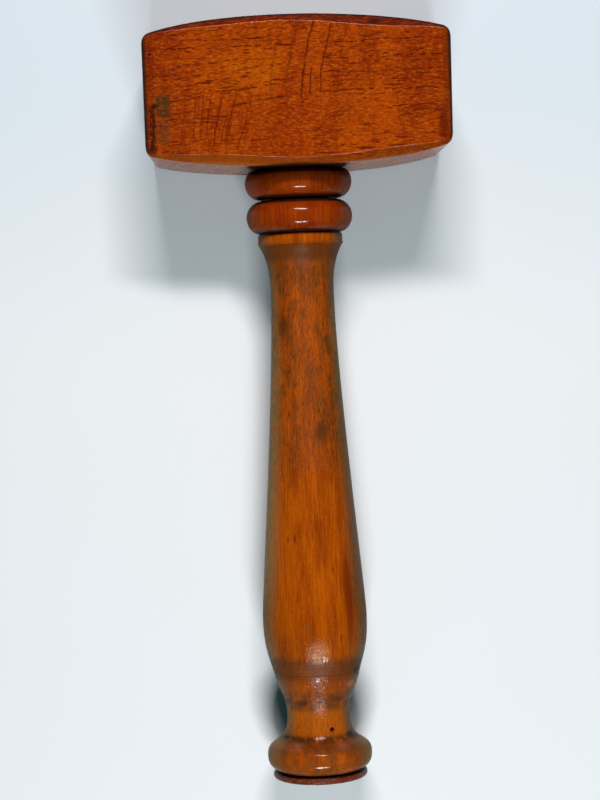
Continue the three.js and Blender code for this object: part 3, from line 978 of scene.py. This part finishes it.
# The two strip lamps: their width and thickness in metres, and each one's name, place, light and slant
LAMP_WIDTH = 0.34
LAMP_THICKNESS = 0.07
LAMPS = [
    ("lamp_head_side", (0.033, 0.59, 0.70), (0.525, 0.48, 0.472), math.radians(-11)),
    ("lamp_foot_side", (0.035, -0.63, 0.70), (0.43, 0.45, 0.458), 0),
]

# The camera's place and aim in millimetres, its upward direction, and its lens and sensor in millimetres
CAMERA_PLACE = (-14.87, 1.123, 766.84)
CAMERA_AIM = (-3.00, 0.656, 23.08)
CAMERA_UP = (0.0393, 0.9992, 0)
CAMERA_LENS = 92.98
CAMERA_SENSOR = 36


def strip_lamp(name, place, light, slant):
    """Long thin soft lamp, level but for its slant, facing the gavel's middle. Its light is what a white
    floor in the middle would send back, in red, green and blue."""
    lamp = bpy.data.lights.new(name, "AREA")
    lamp.shape = "RECTANGLE"
    lamp.size = LAMP_WIDTH
    lamp.size_y = LAMP_THICKNESS
    strength = max(light)
    lamp.color = [part / strength for part in light]
    place = Vector(place)
    lamp.energy = strength * math.pi ** 2 * place.length ** 3 / place.z
    item = bpy.data.objects.new(name, lamp)
    facing = place.to_track_quat("Z", "Y").to_matrix()
    item.matrix_world = Matrix.Translation(place) @ (facing @ Matrix.Rotation(slant, 3, "Z")).to_4x4()
    bpy.context.scene.collection.objects.link(item)


def camera_above():
    """Camera looking almost straight down on the gavel, turned so that the handle runs down the picture."""
    place = Vector(CAMERA_PLACE) * MM
    back = (place - Vector(CAMERA_AIM) * MM).normalized()
    right = Vector(CAMERA_UP).cross(back).normalized()
    up = back.cross(right)
    data = bpy.data.cameras.new("camera")
    data.lens = CAMERA_LENS
    data.sensor_width = CAMERA_SENSOR
    camera = bpy.data.objects.new("camera", data)
    camera.matrix_world = Matrix.Translation(place) @ Matrix((right, up, back)).transposed().to_4x4()
    bpy.context.scene.collection.objects.link(camera)
    bpy.context.scene.camera = camera


def paper_floor():
    """Wide sheet of matte pale paper under the gavel. Where it is seen, the paper shows its own pale colour,
    painted darker past the head as painted shade, and beyond the lamps' reach it keeps that colour. The
    light that it sends back to the gavel is dimmer."""
    material, tree = new_material("matte_paper")
    place = put(tree, "TexCoord", out="Object")
    away = put(tree, "VectorMath", (place,), out="Value", operation="LENGTH")
    camera_ray = put(tree, "LightPath", out="Is Camera Ray")
    seen = put(tree, "Math", (camera_ray, camera_ray.node.outputs["Is Glossy Ray"]), operation="MAXIMUM")
    # Painted shade: the seen paper darkens toward the head's end, as the lamps' light falls off
    painted_falloff = between(tree, put(tree, "SeparateXYZ", (place,), out=1), 0, PAINTED_SHADE_FROM)
    paper = laid_over(tree, PAPER, [(painted_falloff, PAPER_IN_PAINTED_SHADE)])
    shader = {
        "Base Color": laid_over(tree, PAPER_LIGHT, [(seen, paper)]),
        "Roughness": 0.9,
        "Specular IOR Level": 0.2,
        "Emission Color": linear(PAPER),
        "Emission Strength": product(tree, camera_ray, between(tree, away, LIT_REACH, 3 * LIT_REACH)),
    }
    put(tree, "OutputMaterial", {"Surface": put(tree, "BsdfPrincipled", shader)})
    corners = [(FLOOR_REACH * x, FLOOR_REACH * y, 0) for x, y in ((-1, -1), (1, -1), (1, 1), (-1, 1))]
    mesh = bpy.data.meshes.new("floor")
    mesh.from_pydata(corners, [], [(0, 1, 2, 3)])
    mesh.materials.append(material)
    floor = bpy.data.objects.new("floor", mesh)
    bpy.context.scene.collection.objects.link(floor)


def dim_room():
    """Faint even light from all round, from a room that looks as pale as the paper."""
    world = bpy.data.worlds.new("room")
    world.use_nodes = True
    tree = world.node_tree
    tree.nodes.clear()
    camera_ray = put(tree, "LightPath", out="Is Camera Ray")
    light = laid_over(tree, ROOM_LIGHT, [(camera_ray, PAPER)])
    put(tree, "OutputWorld", {"Surface": put(tree, "Background", {"Color": light})})
    bpy.context.scene.world = world


camera_above()
bpy.context.scene.view_settings.view_transform = "Standard"
dim_room()
paper_floor()
for lamp in LAMPS:
    strip_lamp(*lamp)

head = shell("head", *head_rings())
cut(
    head,
    round_bar("mortise", TENON_RADIUS + JOINT_GAP, -OVERRUN, HEAD_HEIGHT + OVERRUN, TENON_SPREAD),
    drilled("pin_hole", PIN_HOLE, PIN_HOLE_BORE, PIN_HOLE_RADIUS, PIN_HOLE_DEPTH),
)
finish_piece(head, "head_block", head_beech())

outline = turned_outline()
foot = outline[-1, 1]
handle = shell("handle", handle_rings(outline), (0, TENON_TOP, 0), (0, foot, 0))
waist_out = np.array([math.sin(HOLE_TURN), 0, math.cos(HOLE_TURN)])
waist_radius = np.interp(-HOLE_STATION, -outline[:, 1], outline[:, 0])
waist_mouth = waist_out * waist_radius + (0, HOLE_STATION, 0)
kerf_high = TENON_TOP + OVERRUN
cut(
    handle,
    kerf_bar("kerf", TENON_TOP - KERF_DEPTH, kerf_high, 0, TENON_RADIUS + OVERRUN, 40, KERF_POWER),
    round_bar("socket", SPIGOT + JOINT_GAP, foot - OVERRUN, foot + SPIGOT_LENGTH),
    drilled("worm_hole", waist_mouth, (0, HOLE_SLANT, 0) - waist_out, HOLE_RADIUS, HOLE_DEPTH),
)
finish_piece(handle, "turned_handle", handle_beech())

wedge_depth = TENON_RADIUS - 2 * JOINT_GAP
wedge = kerf_bar("wedge", TENON_TOP - WEDGE_LENGTH, TENON_TOP, JOINT_GAP, wedge_depth, 60, WEDGE_POWER)
finish_piece(wedge, "tenon_wedge", wedge_beech())

rim = disc_outline(foot)
disc = shell("foot_disc_turned", disc_rings(rim), (0, rim[0, 1], 0), (0, rim[-1, 1], 0))
finish_piece(disc, "foot_disc", disc_beech())
